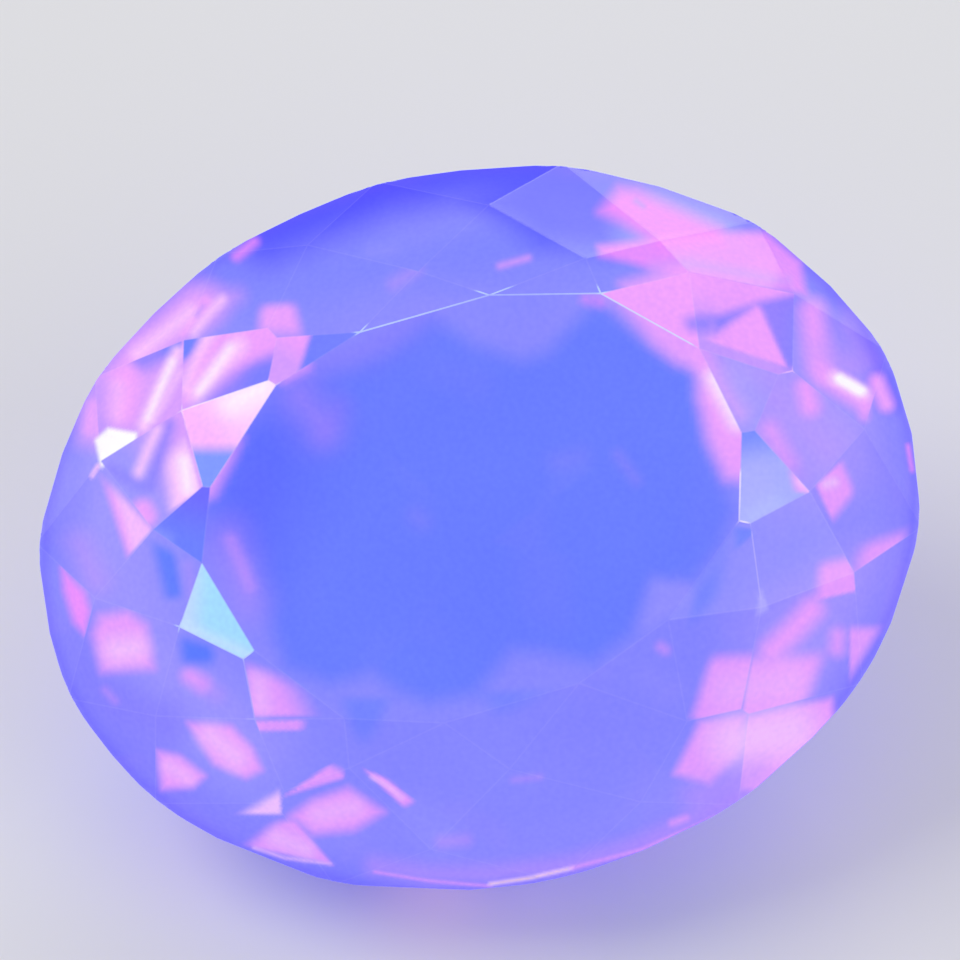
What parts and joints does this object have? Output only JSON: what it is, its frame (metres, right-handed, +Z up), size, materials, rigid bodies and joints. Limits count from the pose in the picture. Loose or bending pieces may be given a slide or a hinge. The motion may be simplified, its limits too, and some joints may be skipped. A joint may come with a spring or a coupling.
{
  "type": "faceted oval pink opal",
  "caption": "Faceted oval opal gemstone, translucent blue-violet with pink flashes, lying on one facet of its pavilion with the table facing up and forward.",
  "frame": {"origin": "middle of the bounding box's base, on the surface that the stone lies on", "axes": "+Z up, the table facet leans towards -Y, the stone's long axis runs close to X"},
  "size_m": [0.012, 0.0088, 0.0072],
  "materials": {
    "opal": "polished, translucent blue-violet opal with pink and lavender flashes"
  },
  "bodies": {
    "root": {"opal": "opal"}
  },
  "joints": []
}
